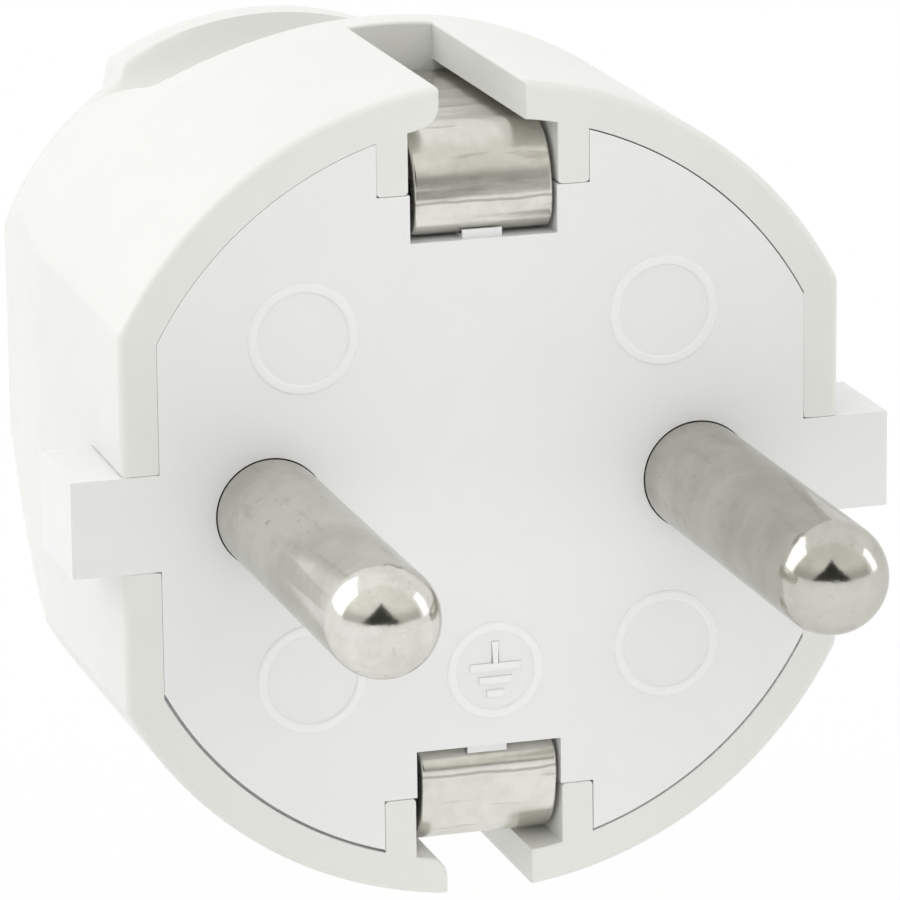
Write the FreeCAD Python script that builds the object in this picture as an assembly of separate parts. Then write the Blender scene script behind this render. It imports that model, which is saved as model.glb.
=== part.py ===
import FreeCAD, Part
import math
import os
from FreeCAD import Vector

# Rewirable two-pin plug with side earth contacts, in millimetres.
# The origin is the centre of the front face. The pins point to -Y, the cord leaves to +Y, +Z is up.

# Pins
pin_diameter = 4.8
pin_length = 19.0  # in front of the face
pin_pitch = 19.0
pin_gap = 0.08  # round the pin in its hole
pin_root_diameter = 5.6  # at the back of the carrier, wider so that the pin can't be pulled out
terminal_head_diameter = 6.6
terminal_head_length = 8.6
terminal_head_gap = 0.12  # round the head in its socket
wire_hole_diameter = 2.8
wire_hole_setback = 3.6  # behind the shoulder of the pin
terminal_screw_diameter = 3.0
terminal_screw_length = 4.3
thread_gap = 0.05  # between a screw and its thread

# Casing, front half
casing_diameter = 35.9
across_flats = 31.6
casing_wall = 1.65
side_wall = 1.45
front_depth = 15.8  # face to the crease where the casing starts to narrow
rim_round = 0.5
slot_width = 3.8
slot_depth = 13.8
slot_edge_round = 1.0  # of the inner edge on the left of a slot
channel_width = 6.6  # between the two keys beside each earth contact
key_width = 1.4
key_height = 3.0
ledge = 0.9  # step inside the casing that the carrier seats on

# Casing, rear half
body_length = 37.5
rear_diameter = 27.6
rear_across = 25.6
rear_bulge = 0.45
rear_round = 2.5
rear_wall = 3.6
scoop_width = 19.0
scoop_land = 3.2  # from the top of the lip back to the end of the casing
lip_rise = 0.8  # of the lip above the end of the rounded sides
lip_width = 14.9
lip_round = 1.6
lip_crest_round = 0.6
post_cover = 0.5  # plastic between a screw post and the scoop above it
entry_gap = 0.2  # round the cord in its entry
entry_flare = 0.6

# Pin carrier
fit_gap = 0.06  # between the carrier and the casing
plate_thickness = 4.0
face_skin = 2.0  # plastic left in front of a blind hole
ear_span = 36.4
ear_height = 4.1
ear_depth = 5.5
ear_gap = 0.06
socket_wall = 1.2
socket_depth = 7.0
boss_height = 5.0
boss_wall = 0.5  # plastic round a threaded insert
tail_thickness = 1.5
tail_margin = 1.8  # beyond each clamp screw
tail_gap = 0.24  # between the tail and a screw post of the casing
tail_end = 30.5
tail_slot_gap = 0.36  # round the earth bracket and its terminal
clamp_center = 26.0

# Earth contacts
strip_width = 6.2
strip_thickness = 0.7
contact_height = 4.52
contact_nose_radius = 2.5
contact_chin_bend = 0.1  # inside the lower front corner of a contact
contact_gap = 0.15  # between a contact and the casing
contact_setback = 0.05  # of the nose behind the face
contact_leg_end = 13.3
window_gap = 0.12  # between a contact and the inner edge of its window
window_side_gap = 0.15
rest_rib_width = 1.75
bridge_bend = 0.59

# Earth terminal
bush_diameter = 4.0
bush_gap = 0.05
bush_collar_diameter = 6.0
bush_collar_height = 2.5
washer_size = 6.4
washer_thickness = 0.8
earth_screw_diameter = 3.5

# Casing screws and cord clamp
casing_screw_diameter = 3.0
casing_screw_end = 5.0
screw_hole_gap = 0.25  # round a screw where it passes freely
insert_diameter = 4.0
insert_depth = 4.4
insert_gap = 0.02
post_wall = 0.75
post_gap = 0.3  # between a post of the casing and the earth bracket
clamp_screw_diameter = 2.6
clamp_screw_setback = 1.5  # of the screw's end above the bottom of the tail
clamp_post_wall = 0.8
clamp_post_gap = 1.1  # between the cord and a clamp post
clamp_bar_thickness = 1.8
clamp_crown_thickness = 1.45
clamp_bar_length = 5.0
clamp_bar_end = 2.4  # beyond each clamp screw

# Screw heads
head_ratio = 1.8  # head diameter to thread diameter
head_height_ratio = 0.62
driver_slot_ratio = 0.24
driver_slot_depth_ratio = 0.5  # of the height of the head
head_edge_ratio = 0.2  # of the height of the head
thread_chamfer_ratio = 0.3  # of the thread radius
head_seat_gap = 0.3

# Cutting
overrun = 1.0  # how far a cutter reaches past the face it opens
touching = 0.001  # an edge this near a point runs through it

# Sizes that follow from the ones above
casing_radius = casing_diameter / 2
casing_side = across_flats / 2
inner_radius = casing_radius - casing_wall
inner_side = casing_side - side_wall
carrier_radius = inner_radius - fit_gap
carrier_side = inner_side - fit_gap
pin_x = pin_pitch / 2
pin_radius = pin_diameter / 2
pin_root_radius = pin_root_diameter / 2
head_radius = terminal_head_diameter / 2
head_end = plate_thickness + terminal_head_length
wire_y = plate_thickness + wire_hole_setback
contact_top = math.sqrt(inner_radius**2 - (strip_width / 2) ** 2) - contact_gap
contact_bottom = contact_top - contact_height
nose_center_y = contact_setback + contact_nose_radius
window_edge = contact_bottom - window_gap
window_width = strip_width + 2 * window_side_gap
key_end = inner_radius - key_height
key_outer_x = channel_width / 2 + key_width
bridge_front = plate_thickness + boss_height
bridge_back = bridge_front + strip_thickness
insert_radius = insert_diameter / 2
boss_radius = insert_radius + boss_wall
screw_z = contact_bottom - bridge_bend - boss_radius
casing_screw_radius = casing_screw_diameter / 2
casing_head_radius = casing_screw_radius * head_ratio
casing_head_height = casing_screw_diameter * head_height_ratio
casing_head_seat = body_length - casing_head_height - head_seat_gap
post_radius = casing_screw_radius + screw_hole_gap + post_wall
post_front = bridge_back + post_gap
cavity_end = body_length - rear_wall
scoop_floor = screw_z + post_radius + post_cover
lip_radius = rear_diameter / 2 + lip_rise
lip_crest_y = body_length - scoop_land
lip_wall_radius = lip_radius - scoop_floor
scoop_floor_y = lip_crest_y - lip_wall_radius
cord_radius = screw_z - post_radius - tail_gap - tail_thickness
tail_top = -cord_radius
tail_bottom = tail_top - tail_thickness
entry_radius = cord_radius + entry_gap
bush_end = bridge_back + bush_collar_height
clamp_screw_radius = clamp_screw_diameter / 2
clamp_post_radius = clamp_screw_radius + clamp_post_wall
clamp_x = cord_radius + clamp_post_gap + clamp_post_radius
clamp_post_top = cord_radius - clamp_bar_thickness
clamp_screw_length = cord_radius - tail_bottom - clamp_screw_setback
tail_side = clamp_x + tail_margin


def box(low_x, high_x, low_y, high_y, low_z, high_z):
    corner = Vector(low_x, low_y, low_z)
    return Part.makeBox(high_x - low_x, high_y - low_y, high_z - low_z, corner)


def rod(radius, start_y, end_y, x=0, z=0):
    return Part.makeCylinder(radius, end_y - start_y, Vector(x, start_y, z), Vector(0, 1, 0))


def pillar(radius, low_z, high_z, x, y):
    return Part.makeCylinder(radius, high_z - low_z, Vector(x, y, low_z), Vector(0, 0, 1))


def upside_down(shape):
    return shape.mirror(Vector(0, 0, 0), Vector(0, 0, 1))


def other_side(shape):
    return shape.mirror(Vector(0, 0, 0), Vector(1, 0, 0))


def face_of(edges):
    return Part.Face(Part.Wire(edges))


def line(start, end):
    return Part.LineSegment(start, end).toShape()


def arc(start, middle, end):
    return Part.Arc(start, middle, end).toShape()


def corner_middle(center, radius, away):
    # The middle of a quarter round about center, towards the signs in away.
    reach = radius / math.sqrt(2)
    return Vector(center.x + away[0] * reach, center.y + away[1] * reach, center.z)


def turned(edges):
    return face_of(edges).revolve(Vector(0, 0, 0), Vector(0, 1, 0), 360)


def body_outline(front, rear, bulge, front_round, end_round, end):
    # Half outline in the XY plane, from the axis out to the front corner and back along the side.
    front_middle = Vector(0, 0, 0)
    rim_start = Vector(front - front_round, 0, 0)
    rim_center = Vector(front - front_round, front_round, 0)
    rim_end = Vector(front, front_round, 0)
    crease_point = Vector(front, front_depth, 0)
    rear_point = Vector(rear, end - end_round, 0)
    rear_center = Vector(rear - end_round, end - end_round, 0)
    back_point = Vector(rear - end_round, end, 0)
    back_middle = Vector(0, end, 0)
    edges = [line(front_middle, rim_start)]
    if front_round > 0:
        edges.append(arc(rim_start, corner_middle(rim_center, front_round, (1, -1)), rim_end))
    edges.append(line(rim_end, crease_point))
    if bulge > 0:
        side_middle = (crease_point + rear_point) * 0.5 + Vector(bulge, 0, 0)
        edges.append(arc(crease_point, side_middle, rear_point))
    else:
        edges.append(line(crease_point, rear_point))
    edges.append(arc(rear_point, corner_middle(rear_center, end_round, (1, 1)), back_point))
    edges.append(line(back_point, back_middle))
    edges.append(line(back_middle, front_middle))
    return edges


def flat_sided(half_outline, height):
    # The half outline and its mirror image, as one tall block centred on the axis.
    half = face_of(half_outline).extrude(Vector(0, 0, 2 * height))
    half.translate(Vector(0, 0, -height))
    return half.fuse(other_side(half)).removeSplitter()


def scoop(offset):
    # Finger scoop in the top, grown by offset: a long curve down to the floor, then up the lip.
    floor_z = scoop_floor - offset
    lip_center = Vector(0, scoop_floor_y, lip_radius)
    lip_reach = lip_wall_radius + offset
    drop = casing_radius - scoop_floor
    run = scoop_floor_y - front_depth
    sweep_radius = (run**2 + drop**2) / (2 * drop)
    sweep_center_z = scoop_floor + sweep_radius
    reach = sweep_radius + offset
    high_z = casing_radius + offset
    start_angle = math.asin(min(1.0, run / sweep_radius))
    start_y = scoop_floor_y - reach * math.sin(start_angle)
    start_z = sweep_center_z - reach * math.cos(start_angle)
    middle_y = scoop_floor_y - reach * math.sin(start_angle / 2)
    middle_z = sweep_center_z - reach * math.cos(start_angle / 2)
    top_z = high_z + casing_wall
    start = Vector(0, start_y, start_z)
    floor_point = Vector(0, scoop_floor_y, floor_z)
    crest = Vector(0, scoop_floor_y + lip_reach, lip_radius)
    diagonal = lip_reach / math.sqrt(2)
    lip_middle = Vector(0, lip_center.y + diagonal, lip_center.z - diagonal)
    crest_top = Vector(0, crest.y, top_z)
    start_top = Vector(0, start_y, top_z)
    edges = [
        arc(start, Vector(0, middle_y, middle_z), floor_point),
        arc(floor_point, lip_middle, crest),
        line(crest, crest_top),
        line(crest_top, start_top),
        line(start_top, start),
    ]
    half_width = scoop_width / 2 + offset
    tool = face_of(edges).extrude(Vector(2 * half_width, 0, 0))
    tool.translate(Vector(-half_width, 0, 0))
    return tool


def cheese_head_screw(diameter, length):
    # Head on the XZ plane, thread towards -Y, with a driver slot.
    radius = diameter / 2
    head_height = diameter * head_height_ratio
    slot_half = diameter * driver_slot_ratio / 2
    slot_floor = head_height * (1 - driver_slot_depth_ratio)
    head = rod(radius * head_ratio, 0, head_height)
    head = head.makeFillet(head_height * head_edge_ratio, [head.Edges[0]])
    slot = box(-diameter, diameter, slot_floor, head_height + overrun, -slot_half, slot_half)
    thread = rod(radius, -length, 0)
    thread = thread.makeChamfer(radius * thread_chamfer_ratio, [thread.Edges[2]])
    return head.cut(slot).fuse(thread)


def make_lip():
    # Raised bar behind the upper scoop, with a rounded crest.
    corner_y = body_length - lip_round
    corner = Vector(lip_radius - lip_round, corner_y, 0)
    lip = turned([
        line(Vector(0, scoop_floor_y, 0), Vector(lip_radius, scoop_floor_y, 0)),
        line(Vector(lip_radius, scoop_floor_y, 0), Vector(lip_radius, corner_y, 0)),
        arc(Vector(lip_radius, corner_y, 0), corner_middle(corner, lip_round, (1, 1)),
            Vector(corner.x, body_length, 0)),
        line(Vector(corner.x, body_length, 0), Vector(0, body_length, 0)),
        line(Vector(0, body_length, 0), Vector(0, scoop_floor_y, 0)),
    ])
    half = lip_width / 2
    lip = lip.common(box(-half, half, scoop_floor_y, body_length, 0, casing_radius))
    lip = lip.cut(scoop(0))
    crest = Part.Vertex(Vector(0, lip_crest_y, lip_radius))
    crest_edges = [edge for edge in lip.Edges if edge.distToShape(crest)[0] < touching]
    return lip.makeFillet(lip_crest_round, crest_edges)


def make_slot():
    # Slot through the rim above the upper earth contact. Its inner edge on the left is rounded.
    half = slot_width / 2
    wide = half + slot_edge_round
    low_z = math.sqrt(inner_radius**2 - wide**2)
    turn_z = low_z + slot_edge_round
    diagonal = slot_edge_round / math.sqrt(2)
    left_middle = Vector(diagonal - wide, 0, turn_z - diagonal)
    edges = [
        line(Vector(-half, 0, casing_diameter), Vector(half, 0, casing_diameter)),
        line(Vector(half, 0, casing_diameter), Vector(half, 0, key_end)),
        line(Vector(half, 0, key_end), Vector(-wide, 0, key_end)),
        line(Vector(-wide, 0, key_end), Vector(-wide, 0, low_z)),
        arc(Vector(-wide, 0, low_z), left_middle, Vector(-half, 0, turn_z)),
        line(Vector(-half, 0, turn_z), Vector(-half, 0, casing_diameter)),
    ]
    return face_of(edges).extrude(Vector(0, slot_depth, 0))


def make_key():
    # Rib inside the rim, to the right of the upper earth contact.
    return box(channel_width / 2, key_outer_x, 0, slot_depth, key_end, casing_radius)


def make_casing():
    outer_round = turned(
        body_outline(casing_radius, rear_diameter / 2, rear_bulge, rim_round, rear_round, body_length))
    outer_flats = flat_sided(
        body_outline(casing_side, rear_across / 2, 0, rim_round, rear_round, body_length), casing_diameter)
    outer = outer_round.common(outer_flats)
    lip = make_lip()
    outer = outer.cut([scoop(0), upside_down(scoop(0))]).fuse([lip, upside_down(lip)])

    seat_radius = inner_radius - ledge
    seat_side = inner_side - ledge
    cavity_round = turned(
        body_outline(seat_radius, rear_diameter / 2 - casing_wall, rear_bulge, 0, rear_round, cavity_end))
    cavity_flats = flat_sided(
        body_outline(seat_side, rear_across / 2 - side_wall, 0, 0, rear_round, cavity_end), casing_diameter)
    shell = scoop(casing_wall)
    posts = [rod(post_radius, post_front, cavity_end, 0, z) for z in (screw_z, -screw_z)]
    cavity = cavity_round.common(cavity_flats).cut([shell, upside_down(shell)] + posts)
    seat = rod(inner_radius, 0, plate_thickness)
    seat = seat.common(box(-inner_side, inner_side, 0, plate_thickness, -inner_radius, inner_radius))
    channel = box(-channel_width / 2, channel_width / 2, 0, slot_depth, -inner_radius, inner_radius)
    channel = channel.common(rod(inner_radius, 0, slot_depth))
    key_pair = [make_key(), other_side(make_key())]
    keys = key_pair + [upside_down(key) for key in key_pair]
    hollow = cavity.fuse([seat, channel]).cut(keys)

    notch_half = ear_height / 2 + ear_gap
    notch = box(pin_x, casing_diameter, 0, ear_depth + ear_gap, -notch_half, notch_half)
    entry = rod(entry_radius, cavity_end - overrun, body_length + overrun)
    flare_length = entry_flare + overrun
    mouth = Part.makeCone(entry_radius, entry_radius + flare_length, flare_length,
                          Vector(0, body_length - entry_flare, 0), Vector(0, 1, 0))
    slot = make_slot()
    cuts = [hollow, slot, upside_down(slot), notch, other_side(notch), entry, mouth]
    for z in (screw_z, -screw_z):
        cuts.append(rod(casing_screw_radius + screw_hole_gap, post_front - overrun, body_length, 0, z))
        cuts.append(rod(casing_head_radius + screw_hole_gap, casing_head_seat, body_length + overrun, 0, z))
    casing = outer
    for cutter in cuts:
        casing = casing.cut(cutter)
    return casing.removeSplitter()


def make_carrier():
    plate = rod(carrier_radius, 0, plate_thickness)
    flats = box(-carrier_side, carrier_side, 0, plate_thickness, -carrier_radius, carrier_radius)
    plate = plate.common(flats)
    ears = box(-ear_span / 2, ear_span / 2, 0, ear_depth, -ear_height / 2, ear_height / 2)
    ears = ears.cut(box(-pin_x, pin_x, plate_thickness, ear_depth, -ear_height, ear_height))
    sockets = [rod(head_radius + terminal_head_gap + socket_wall, 0, plate_thickness + socket_depth, x)
               for x in (-pin_x, pin_x)]
    bosses = [rod(boss_radius, 0, bridge_front, 0, z) for z in (-screw_z, screw_z)]
    bosses.append(rod(bush_collar_diameter / 2, 0, bridge_front))

    arm_inner = max(strip_width, washer_size) / 2 + tail_slot_gap
    slot_end = bush_end + washer_thickness + earth_screw_diameter * head_height_ratio + tail_slot_gap
    tail = box(-tail_side, tail_side, plate_thickness, tail_end, tail_bottom, tail_top)
    tail = tail.cut(box(-arm_inner, arm_inner, plate_thickness, slot_end, tail_bottom, tail_top))
    clamp_posts = [pillar(clamp_post_radius, tail_bottom, clamp_post_top, x, clamp_center)
                   for x in (-clamp_x, clamp_x)]
    room_side = inner_side - ledge - fit_gap
    room = box(-room_side, room_side, 0, tail_end, -carrier_radius, carrier_radius)
    rear = sockets[0].fuse(sockets[1:] + bosses + [tail] + clamp_posts).common(room)
    carrier = plate.fuse([ears, rear])

    window = box(-window_width / 2, window_width / 2, 0, plate_thickness, window_edge, casing_radius)
    rib = box(-rest_rib_width / 2, rest_rib_width / 2, 0, plate_thickness, window_edge, contact_bottom)
    key_room = key_outer_x + fit_gap
    notch = box(-key_room, key_room, 0, plate_thickness, key_end - fit_gap, casing_radius)
    opening = window.cut(rib).fuse(notch)
    cuts = [opening, upside_down(opening)]
    wire_half = wire_hole_diameter / 2
    for x in (-pin_x, pin_x):
        cuts.append(Part.makeCone(pin_radius + pin_gap, pin_root_radius + pin_gap, plate_thickness,
                                  Vector(x, 0, 0), Vector(0, 1, 0)))
        cuts.append(rod(head_radius + terminal_head_gap, plate_thickness, head_end, x))
        cuts.append(box(x - wire_half, x + wire_half, wire_y - wire_half, head_end, 0, inner_radius))
    for z in (-screw_z, screw_z):
        cuts.append(rod(insert_radius + insert_gap, bridge_front - insert_depth, bridge_front, 0, z))
        cuts.append(rod(casing_screw_radius + screw_hole_gap, face_skin, bridge_front, 0, z))
    cuts.append(rod(bush_diameter / 2 + bush_gap, face_skin, bridge_front))
    for x in (-clamp_x, clamp_x):
        cuts.append(pillar(clamp_screw_radius + thread_gap, tail_bottom, clamp_post_top, x, clamp_center))
    return carrier.cut(cuts).removeSplitter()


def make_pin(x):
    tip_center = pin_radius - pin_length
    diagonal = pin_radius / math.sqrt(2)
    tip = Vector(0, -pin_length, 0)
    corners = [
        Vector(pin_radius, tip_center, 0),
        Vector(pin_radius, 0, 0),
        Vector(pin_root_radius, plate_thickness, 0),
        Vector(head_radius, plate_thickness, 0),
        Vector(head_radius, head_end, 0),
        Vector(0, head_end, 0),
        tip,
    ]
    profile = [arc(tip, Vector(diagonal, tip_center - diagonal, 0), corners[0])]
    profile += [line(start, end) for start, end in zip(corners, corners[1:])]
    pin = turned(profile)
    wire_hole = pillar(wire_hole_diameter / 2, -head_radius, head_radius, 0, wire_y)
    tapped_hole = rod(terminal_screw_diameter / 2 + thread_gap, wire_y, head_end)
    pin = pin.cut([wire_hole, tapped_hole])
    pin.translate(Vector(x, 0, 0))
    return pin


def make_terminal_screws():
    screw = cheese_head_screw(terminal_screw_diameter, terminal_screw_length)
    screws = []
    for x in (-pin_x, pin_x):
        placed = screw.copy()
        placed.translate(Vector(x, head_end, 0))
        screws.append(placed)
    return Part.makeCompound(screws)


def make_earth_bracket():
    # Each contact is a round nose with a straight front and a tight chin below it.
    nose_z = contact_top - contact_nose_radius
    outer_nose = contact_nose_radius / math.sqrt(2)
    inner_nose = (contact_nose_radius - strip_thickness) / math.sqrt(2)
    front_inside = contact_setback + strip_thickness
    chin_radius = contact_chin_bend + strip_thickness
    chin_y = contact_setback + chin_radius
    chin_z = contact_bottom + chin_radius
    outer_chin = chin_radius / math.sqrt(2)
    inner_chin = contact_chin_bend / math.sqrt(2)
    leg_under = contact_top - strip_thickness
    arm_over = contact_bottom + strip_thickness
    bend_y = bridge_front - bridge_bend
    bend_z = contact_bottom - bridge_bend
    inner_bend = bridge_bend / math.sqrt(2)
    outer_bend = (bridge_bend + strip_thickness) / math.sqrt(2)

    def at(y, z):
        return Vector(0, y, z)

    edges = [
        line(at(contact_leg_end, contact_top), at(nose_center_y, contact_top)),
        arc(at(nose_center_y, contact_top), at(nose_center_y - outer_nose, nose_z + outer_nose),
            at(contact_setback, nose_z)),
        line(at(contact_setback, nose_z), at(contact_setback, chin_z)),
        arc(at(contact_setback, chin_z), at(chin_y - outer_chin, chin_z - outer_chin),
            at(chin_y, contact_bottom)),
        line(at(chin_y, contact_bottom), at(bend_y, contact_bottom)),
        arc(at(bend_y, contact_bottom), at(bend_y + inner_bend, bend_z + inner_bend),
            at(bridge_front, bend_z)),
        line(at(bridge_front, bend_z), at(bridge_front, 0)),
        line(at(bridge_front, 0), at(bridge_back, 0)),
        line(at(bridge_back, 0), at(bridge_back, bend_z)),
        arc(at(bridge_back, bend_z), at(bend_y + outer_bend, bend_z + outer_bend), at(bend_y, arm_over)),
        line(at(bend_y, arm_over), at(chin_y, arm_over)),
        arc(at(chin_y, arm_over), at(chin_y - inner_chin, chin_z - inner_chin), at(front_inside, chin_z)),
        line(at(front_inside, chin_z), at(front_inside, nose_z)),
        arc(at(front_inside, nose_z), at(nose_center_y - inner_nose, nose_z + inner_nose),
            at(nose_center_y, leg_under)),
        line(at(nose_center_y, leg_under), at(contact_leg_end, leg_under)),
        line(at(contact_leg_end, leg_under), at(contact_leg_end, contact_top)),
    ]
    upper = face_of(edges).extrude(Vector(strip_width, 0, 0))
    upper.translate(Vector(-strip_width / 2, 0, 0))
    bracket = upper.fuse(upside_down(upper)).removeSplitter()
    hole_radius = casing_screw_radius + screw_hole_gap
    holes = [rod(hole_radius, bridge_front, bridge_back, 0, z) for z in (-screw_z, screw_z)]
    holes.append(rod(bush_diameter / 2 + bush_gap, bridge_front, bridge_back))
    return bracket.cut(holes)


def make_earth_bush():
    stem = rod(bush_diameter / 2, face_skin, bridge_back)
    collar = rod(bush_collar_diameter / 2, bridge_back, bush_end)
    bore = rod(earth_screw_diameter / 2 + thread_gap, face_skin, bush_end)
    return stem.fuse(collar).cut(bore)


def make_earth_washer():
    half = washer_size / 2
    high_y = bush_end + washer_thickness
    washer = box(-half, half, bush_end, high_y, -half, half)
    return washer.cut(rod(earth_screw_diameter / 2 + screw_hole_gap, bush_end, high_y))


def make_earth_screw():
    seat_y = bush_end + washer_thickness
    screw = cheese_head_screw(earth_screw_diameter, seat_y - plate_thickness)
    screw.translate(Vector(0, seat_y, 0))
    return screw


def make_casing_screws():
    screw = cheese_head_screw(casing_screw_diameter, casing_head_seat - casing_screw_end)
    screws = []
    for z in (-screw_z, screw_z):
        placed = screw.copy()
        placed.translate(Vector(0, casing_head_seat, z))
        screws.append(placed)
    return Part.makeCompound(screws)


def make_threaded_inserts():
    insert_front = bridge_front - insert_depth
    inserts = []
    for z in (-screw_z, screw_z):
        insert = rod(insert_radius, insert_front, bridge_front, 0, z)
        thread = rod(casing_screw_radius + thread_gap, insert_front, bridge_front, 0, z)
        inserts.append(insert.cut(thread))
    return Part.makeCompound(inserts)


def make_clamp_bar():
    low_y = clamp_center - clamp_bar_length / 2
    high_y = clamp_center + clamp_bar_length / 2
    end_x = clamp_x + clamp_bar_end
    high_z = clamp_post_top + clamp_bar_thickness
    bar = box(-end_x, end_x, low_y, high_y, clamp_post_top, high_z)
    crown = rod(cord_radius + clamp_crown_thickness, low_y, high_y)
    crown = crown.common(box(-end_x, end_x, low_y, high_y, clamp_post_top, casing_radius))
    bar = bar.fuse(crown).cut(rod(cord_radius, low_y, high_y))
    holes = [pillar(clamp_screw_radius + screw_hole_gap, clamp_post_top, high_z, x, clamp_center)
             for x in (-clamp_x, clamp_x)]
    return bar.cut(holes)


def make_clamp_screws():
    screw = cheese_head_screw(clamp_screw_diameter, clamp_screw_length)
    screw.rotate(Vector(0, 0, 0), Vector(1, 0, 0), 90)
    screws = []
    for x in (-clamp_x, clamp_x):
        placed = screw.copy()
        placed.translate(Vector(x, clamp_center, clamp_post_top + clamp_bar_thickness))
        screws.append(placed)
    return Part.makeCompound(screws)


nodes = {
    "casing": make_casing(),
    "pin_carrier": make_carrier(),
    "left_pin": make_pin(-pin_x),
    "right_pin": make_pin(pin_x),
    "pin_terminal_screws": make_terminal_screws(),
    "earth_bracket": make_earth_bracket(),
    "earth_terminal_bush": make_earth_bush(),
    "earth_clamp_washer": make_earth_washer(),
    "earth_terminal_screw": make_earth_screw(),
    "casing_screws": make_casing_screws(),
    "threaded_inserts": make_threaded_inserts(),
    "cord_clamp_bar": make_clamp_bar(),
    "cord_clamp_screws": make_clamp_screws(),
}

os.makedirs("parts", exist_ok=True)
for name, shape in nodes.items():
    shape.exportStep(os.path.join("parts", name + ".step"))
    print(name, "solids", len(shape.Solids), "valid", shape.isValid(), "volume", round(shape.Volume, 1))
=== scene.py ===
import math
import bpy
from mathutils import Matrix, Vector


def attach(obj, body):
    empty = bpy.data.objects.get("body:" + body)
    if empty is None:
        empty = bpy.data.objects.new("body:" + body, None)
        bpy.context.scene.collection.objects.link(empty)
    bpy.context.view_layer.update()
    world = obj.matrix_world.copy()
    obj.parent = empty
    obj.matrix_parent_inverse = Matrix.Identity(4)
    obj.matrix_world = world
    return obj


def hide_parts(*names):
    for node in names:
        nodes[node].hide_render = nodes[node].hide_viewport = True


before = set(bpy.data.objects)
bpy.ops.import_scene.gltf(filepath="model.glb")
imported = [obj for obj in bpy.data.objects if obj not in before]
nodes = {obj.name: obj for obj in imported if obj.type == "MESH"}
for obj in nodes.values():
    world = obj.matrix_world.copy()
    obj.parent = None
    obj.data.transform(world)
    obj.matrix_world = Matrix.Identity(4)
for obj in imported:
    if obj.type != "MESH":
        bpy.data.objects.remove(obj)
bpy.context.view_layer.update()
print("frame loaded with", len(nodes), "nodes")

# pieces are modelled in millimetres and brought to metres when they are finished

modelling = {
    "metres": 0.001, "smoothAngle": 32, "faceWeight": 80,
    "sharpAngle": 25, "roundSteps": 3, "fullRound": 1.0,
    "overshoot": 1.0,  # how far a cutting tool starts outside its piece
}
overshoot = modelling["overshoot"]


def clearSelection():
    bpy.ops.object.select_all(action="DESELECT")


def take(piece):
    clearSelection()
    piece.select_set(True)
    bpy.context.view_layer.objects.active = piece


def applyModifier(piece, kind, **settings):
    take(piece)
    modifier = piece.modifiers.new(kind, kind)
    for key, value in settings.items():
        setattr(modifier, key, value)
    bpy.ops.object.modifier_apply(modifier=modifier.name)


def combine(piece, operation, tools):
    for tool in tools:
        applyModifier(piece, "BOOLEAN", object=tool, operation=operation, solver="EXACT")
        bpy.data.objects.remove(tool)


def cutAway(piece, *tools):
    combine(piece, "DIFFERENCE", tools)


def joinOn(piece, *tools):
    combine(piece, "UNION", tools)


def faceOutward(piece):
    take(piece)
    bpy.ops.object.mode_set(mode="EDIT")
    bpy.ops.mesh.select_all(action="SELECT")
    bpy.ops.mesh.normals_make_consistent(inside=False)
    bpy.ops.object.mode_set(mode="OBJECT")


def drawOutline(points, push):
    # a filled ring of points, pushed into a solid
    clearSelection()
    bpy.ops.mesh.primitive_circle_add(vertices=len(points), radius=1, fill_type="NGON")
    piece = bpy.context.object
    for vertex, point in zip(piece.data.vertices, points):
        vertex.co = point
    bpy.ops.object.mode_set(mode="EDIT")
    bpy.ops.mesh.select_all(action="SELECT")
    bpy.ops.mesh.extrude_region_move(TRANSFORM_OT_translate={"value": push})
    bpy.ops.object.mode_set(mode="OBJECT")
    faceOutward(piece)
    return piece


def turnProfile(profile, x=0.0, z=0.0, sides=64):
    # rings along Y, each one extruded from the last and resized to its radius
    clearSelection()
    depth, radius = profile[0]
    bpy.ops.mesh.primitive_circle_add(vertices=sides, radius=radius, fill_type="NGON",
                                      location=(x, depth, z), rotation=(math.pi / 2, 0, 0))
    piece = bpy.context.object
    bpy.ops.object.transform_apply(location=True, rotation=True, scale=True)
    bpy.ops.object.mode_set(mode="EDIT")
    bpy.ops.mesh.select_all(action="SELECT")
    for nextDepth, nextRadius in profile[1:]:
        bpy.ops.mesh.extrude_region_move(TRANSFORM_OT_translate={"value": (0, nextDepth - depth, 0)})
        ratio = nextRadius / radius
        bpy.ops.transform.resize(value=(ratio, 1, ratio), center_override=(x, nextDepth, z))
        depth, radius = nextDepth, nextRadius
    bpy.ops.object.mode_set(mode="OBJECT")
    faceOutward(piece)
    return piece


def loftRings(rings):
    # one extrusion per ring, then every column goes to its place on the ring
    clearSelection()
    columns = len(rings[0])
    bpy.ops.mesh.primitive_circle_add(vertices=columns, radius=1, fill_type="NGON")
    piece = bpy.context.object
    first = piece.data.vertices[0].co
    startAngle = math.atan2(first.y, first.x)
    bpy.ops.object.mode_set(mode="EDIT")
    bpy.ops.mesh.select_all(action="SELECT")
    for count in range(len(rings) - 1):
        bpy.ops.mesh.extrude_region_move(TRANSFORM_OT_translate={"value": (0, 0, 1)})
    bpy.ops.object.mode_set(mode="OBJECT")
    for vertex in piece.data.vertices:
        turn = (math.atan2(vertex.co.y, vertex.co.x) - startAngle) / (2 * math.pi)
        vertex.co = rings[round(vertex.co.z)][round(turn * columns) % columns]
    faceOutward(piece)
    return piece


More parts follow.
